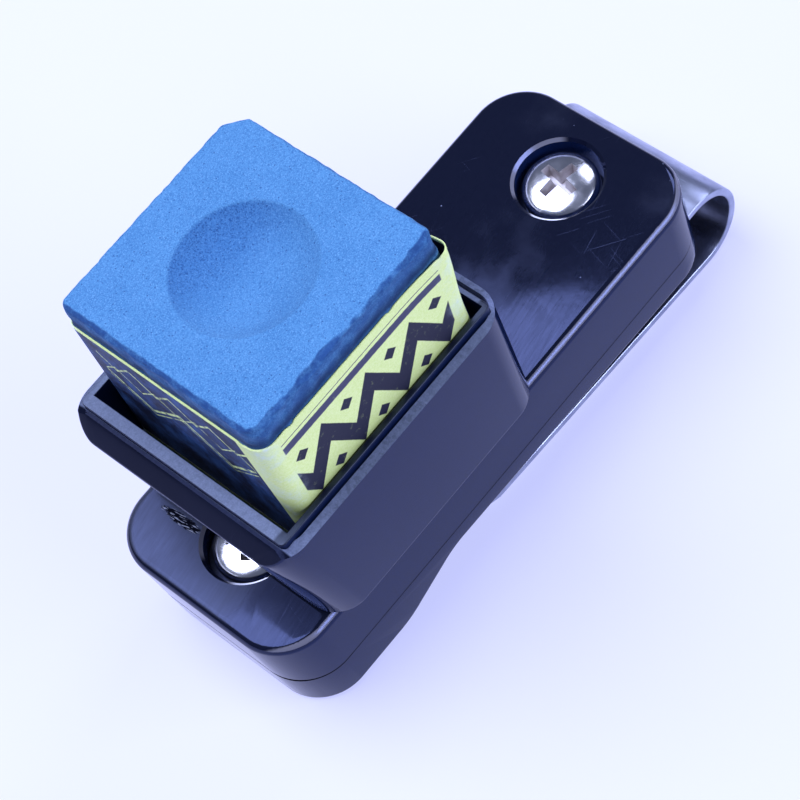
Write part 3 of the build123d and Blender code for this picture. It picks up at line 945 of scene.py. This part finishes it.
# %% [markdown]
# ## Printed paper
# The wrap is pale yellow-green paper printed in dark inks. Two facing sides carry a bold zigzag between
# rules, with a diamond in each notch; the other two are dark panels with thin lines left in the paper's
# colour. The shapes are distances worked out from the UV map in millimetres, so the edges stay crisp at
# any size. Chalk dust then stains the corners, and the dark front panel is dusted blue.
# Painted shade darkens the paper towards the bottom, where the cup's rim keeps light off.

# %% Bold sides
ZIGZAG_PERIOD = 5.4
ZIGZAG_HEIGHT = 2.1
ZIGZAG_MIDDLE = 12.3
ZIGZAG_STROKE = 1.5
ZIGZAG_START = 40.5
GEM_PLACE = 2.6
GEM_REACH = 0.75
RULE_PLACE = 4.9
RULE_HALF = 0.45
OUTLINE_PLACE = 5.85
OUTLINE_HALF = 0.05
PRINT_HALF = 9.3


def stroke(distance, half_width, edge=0.05):
    """1 where a distance is under half_width, with a thin soft edge."""
    return ramp(distance, half_width + edge, half_width - edge)


def zigzag_line(x, period, height):
    """A wave of straight slopes along x, from -height to height; it starts far off, so no fold shows."""
    wave = calc("PINGPONG", plus(x, ZIGZAG_START * period), period / 2)
    return minus(times(wave, 4 * height / period), height)


def bold_print(x, up):
    """Black zigzag and diamonds, |x| + |y| < reach, and slate rules above and below; two values, 0 to 1."""
    height = minus(up, ZIGZAG_MIDDLE)
    wave = zigzag_line(x, ZIGZAG_PERIOD, ZIGZAG_HEIGHT)
    black = stroke(apart(height, wave), ZIGZAG_STROKE, 0.08)
    notch = calc("PINGPONG", x, ZIGZAG_PERIOD / 2)
    low_gem = plus(notch, apart(height, -GEM_PLACE))
    high_gem = plus(apart(ZIGZAG_PERIOD / 2, notch), apart(height, GEM_PLACE))
    gems = larger(stroke(low_gem, GEM_REACH), stroke(high_gem, GEM_REACH))
    away = calc("ABSOLUTE", height)
    rules = stroke(apart(away, RULE_PLACE), RULE_HALF)
    slate = larger(rules, stroke(apart(away, OUTLINE_PLACE), OUTLINE_HALF, 0.03))
    inside = stroke(calc("ABSOLUTE", x), PRINT_HALF)
    return times(larger(black, gems), inside), times(slate, inside)


# %% Dark sides
PANEL_LEFT = -11.2
PANEL_RIGHT = 8.8
PANEL_SLANT = 0.12
PANEL_LOW = 1.5
PANEL_HIGH = 18.85
LINES_HALF = 8.6
# Each thin line: the height of its middle, its period, the height of its wave and half its width
PANEL_LINES = (
    (16.2, 4.6, 1.1, 0.16),
    (14.6, 4.6, -1.1, 0.1),
    (12.4, 9.2, 1.9, 0.2),
    (11.7, 9.2, 1.9, 0.08),
)


def panel_print(x, up):
    """A dark panel with a slanting right edge, and the thin zigzags that are left in the paper's colour."""
    slanted = weighted(x, (up, PANEL_SLANT))
    right = ramp(slanted, PANEL_RIGHT + 1.8, PANEL_RIGHT + 1.7)
    panel = times(right, ramp(x, PANEL_LEFT, PANEL_LEFT + 0.1))
    panel = times(panel, ramp(up, PANEL_LOW, PANEL_LOW + 0.1))
    panel = times(panel, ramp(up, PANEL_HIGH + 0.1, PANEL_HIGH))
    lines = 0.0
    for middle, period, height, half_width in PANEL_LINES:
        wave = plus(zigzag_line(x, period, height), middle)
        lines = larger(stroke(apart(up, wave), half_width), lines)
    return panel, times(lines, stroke(calc("ABSOLUTE", x), LINES_HALF))


# %% Paper recipe
LIME_PAPER = (0.69, 0.83, 0.27, 1)
PALE_PAPER = (0.79, 0.9, 0.38, 1)
# Painted shade: the paper darkens towards the bottom, where the cup's rim keeps light off
LOW_SHADE_PAPER = (0.3, 0.38, 0.1, 1)
BLACK_INK = (0.011, 0.012, 0.03, 1)
SLATE_INK = (0.05, 0.052, 0.1, 1)
PANEL_INK = (0.007, 0.009, 0.028, 1)
BLUE_SMEAR = (0.04, 0.11, 0.3, 1)
PALE_DUST = (0.66, 0.8, 0.86, 1)
DUSTED_CORNER = 2.4


def printed_paper():
    """Paper, painted shade low down, print, dust and smear, one over the other. The map's whole part is the
    side of the cube, and its fraction, less a half and times the side's length, is x on that side."""
    made, tree, shader = finish("printed_paper", Roughness=0.6, Specular_IOR_Level=0.3)
    coordinates = add(tree, "TexCoord")
    place = coordinates.outputs["Object"]
    sheet = add(tree, "SeparateXYZ", {0: coordinates.outputs["UV"]})
    around = sheet.outputs[0]
    up = times(sheet.outputs[1], side_length)
    x = times(minus(calc("FRACT", around), 0.5), side_length)
    pale_side = calc("MODULO", calc("FLOOR", around), 2.0)
    dark_side = minus(1.0, pale_side)

    wobble = minus(noise(place, 2500.0, 3.0), 0.5)
    printed_up = weighted(up, (wobble, 0.1))
    black, slate = bold_print(x, printed_up)
    panel, lines = panel_print(x, printed_up)
    worn_ink = ramp(noise(place, 1500.0, 4.0, 0.7), 0.2, 0.42, 0.8, 1.0)
    broken = times(lines, ramp(noise(place, 1300.0, 4.0, 0.75), 0.35, 0.55))
    dark_ink = times(times(panel, dark_side), minus(1.0, broken))

    fibre = noise(place, 6500.0, 3.0, 0.7)
    corner = ramp(calc("ABSOLUTE", x), side_length / 2 - DUSTED_CORNER, side_length / 2)
    dust = times(corner, ramp(noise(place, 420.0, 5.0, 0.7), 0.4, 0.7, 0.0, 0.7))
    smear = ramp(noise(place, 260.0, 8.0, 0.8), 0.38, 0.72)
    colour = layered(
        mix(ramp(fibre, 0.3, 0.7), LIME_PAPER, PALE_PAPER),
        # Painted shade, darker towards the bottom
        (ramp(up, 13.5, 7.0, 0.0, 0.6), LOW_SHADE_PAPER),
        (times(times(slate, pale_side), worn_ink), SLATE_INK),
        (times(times(black, pale_side), worn_ink), BLACK_INK),
        (dust, PALE_DUST),
        (dark_ink, mix(smear, PANEL_INK, BLUE_SMEAR)),
    )
    tree.links.new(colour, shader.inputs["Base Color"])
    bump(shader, weighted(fibre, (black, 0.3)), 0.25, 0.00003)
    return made


paper_print = printed_paper()
print("paper:", paper_print.name, "side, mm:", round(side_length, 2))

# %% [markdown]
# ## Dress the CAD pieces
# The moulded and turned pieces keep their CAD shapes. Their meshes are loose triangles, so a Weld modifier
# joins them and an Edge Split modifier keeps the true edges sharp while round faces shade smoothly.

# %% Give each node its finish
SHARP_ANGLE = np.radians(28)
WELD_DISTANCE = 1e-6
node_finishes = {
    "case_top": case_plastic,
    "case_bottom": case_plastic,
    "cup_shell": cup_plastic,
    "cup_liner": liner_plastic,
    "case_screws": chrome,
    "screw_inserts": brass,
    "case_magnet": nickel,
    "magnet_keeper": plain_steel,
    "cup_plate": plain_steel,
}
for node_name, material in node_finishes.items():
    node = frame["nodes"][node_name]
    node.data.materials.clear()
    node.data.materials.append(material)
    node.data.polygons.foreach_set("use_smooth", np.ones(len(node.data.polygons), bool))
    weld = node.modifiers.new("join_triangles", "WELD")
    weld.merge_threshold = WELD_DISTANCE
    split = node.modifiers.new("sharp_edges", "EDGE_SPLIT")
    split.split_angle = SHARP_ANGLE
print("dressed:", ", ".join(node_finishes))

# %% [markdown]
# ## Bodies for the new pieces
# A new piece stands in for one or more CAD nodes, which are hidden. Chalk and paper ride on the
# chalk's body. The clip keeps its place in the row frame, with no body of its own.

# %% Give each new piece its finish and hide the nodes it stands for; chalk and paper ride on the chalk's body
chalk.data.materials.append(chalk_blue)
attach(chalk, "chalk")
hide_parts("chalk_cube")

paper.data.materials.append(paper_print)
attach(paper, "chalk")
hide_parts("chalk_label")

clip.data.materials.append(spring_steel)
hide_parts("clip_base", "clip_leaf")
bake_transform(clip)

# %% [markdown]
# ## Floor, light and camera
# Gloss black shows its surroundings more than itself, so the lights are placed by what has to be mirrored.
# A round softbox hangs high on the far left: the case's flat top mirrors its edge. A long low one on the
# near right draws the bright line along the case's edge, and a small one behind gives each screw its second
# glint. The sheet under the holder is pale and glows a little, and the rest of the room is dark.

# %% Floor
FLOOR_HALF = 0.32
SHEET_COLOUR = (0.29, 0.285, 0.33, 1)
SHEET_GLOW = (0.455, 0.483, 0.81, 1)
floor_mesh = bpy.data.meshes.new("floor")
floor_signs = ((-1, -1), (1, -1), (1, 1), (-1, 1))
floor_corners = [(FLOOR_HALF * x, FLOOR_HALF * y, 0) for x, y in floor_signs]
floor_mesh.from_pydata(floor_corners, [], [(0, 1, 2, 3)])
floor = bpy.data.objects.new("floor", floor_mesh)
scene.collection.objects.link(floor)
pale_sheet = finish(
    "pale_sheet",
    Base_Color=SHEET_COLOUR,
    Roughness=0.9,
    Emission_Color=SHEET_GLOW,
    Emission_Strength=1.0,
)[0]
floor_mesh.materials.append(pale_sheet)

# %% Lights
LIGHT_DISTANCE = 3.0
LIGHT_TINT = (0.66, 0.71, 1.0)
# Each softbox: name, shape, azimuth and elevation, width and height in degrees of view, radiance
SOFTBOXES = (
    ("key_softbox", "ELLIPSE", 125, 66, 54.7, 54.7, 7.8),
    ("side_softbox", "RECTANGLE", -68, 29, 46, 21, 10.0),
    ("rear_softbox", "RECTANGLE", 8, 40, 18, 22, 7.0),
)


def softbox(name, shape, azimuth, elevation, wide, high, radiance):
    """An area light that looks at the holder from that direction and fills wide by high degrees of its
    view. Size = 2 * distance * tan(half angle), and power = radiance * pi * area."""
    turn, rise = np.radians(azimuth), np.radians(elevation)
    towards = Vector((np.cos(rise) * np.cos(turn), np.cos(rise) * np.sin(turn), np.sin(rise)))
    light = bpy.data.lights.new(name, "AREA")
    light.shape = shape
    light.size = 2 * LIGHT_DISTANCE * np.tan(np.radians(wide / 2))
    light.size_y = 2 * LIGHT_DISTANCE * np.tan(np.radians(high / 2))
    area = light.size * light.size_y * (np.pi / 4 if shape == "ELLIPSE" else 1)
    light.energy = radiance * np.pi * area
    light.color = LIGHT_TINT
    lamp = bpy.data.objects.new(name, light)
    lamp.location = LIGHT_DISTANCE * towards
    lamp.rotation_mode = "QUATERNION"
    lamp.rotation_quaternion = (-towards).to_track_quat("-Z", "Y")
    scene.collection.objects.link(lamp)
    print(name, "power:", round(light.energy, 1))


for box in SOFTBOXES:
    softbox(*box)

# %% Surroundings
ROOM_COLOUR = (0.085, 0.1, 0.16, 1)
BACKDROP_COLOUR = (0.87, 0.94, 1.0, 1)
world = bpy.data.worlds.new("studio")
scene.world = world
world.use_nodes = True
sky = world.node_tree
sky.nodes.clear()
room = add(sky, "Background", {"Color": ROOM_COLOUR})
backdrop = add(sky, "Background", {"Color": BACKDROP_COLOUR})
seen = add(sky, "LightPath").outputs["Is Camera Ray"]
both = add(sky, "MixShader", {0: seen, 1: room.outputs[0], 2: backdrop.outputs[0]})
add(sky, "OutputWorld", {"Surface": both.outputs[0]})
print("world:", world.name)

# %% Camera
CAMERA_PLACE = Vector((-0.07244284, -0.11552533, 0.21277119))
CAMERA_AIM = Vector((-0.00650899, -0.00297487, 0.015))
CAMERA_ROLL = np.radians(-21.4325)
LENS = 121.857
SENSOR_WIDTH = 36.0
camera_data = bpy.data.cameras.new("camera")
camera_data.lens = LENS
camera_data.sensor_width = SENSOR_WIDTH
camera = bpy.data.objects.new("camera", camera_data)
scene.collection.objects.link(camera)
camera.location = CAMERA_PLACE
camera.rotation_mode = "QUATERNION"
look = (CAMERA_AIM - CAMERA_PLACE).to_track_quat("-Z", "Y")
camera.rotation_quaternion = look @ Matrix.Rotation(CAMERA_ROLL, 3, "Z").to_quaternion()
scene.camera = camera
scene.view_settings.view_transform = "Standard"
print("camera distance, mm:", round((CAMERA_AIM - CAMERA_PLACE).length / MM, 1))
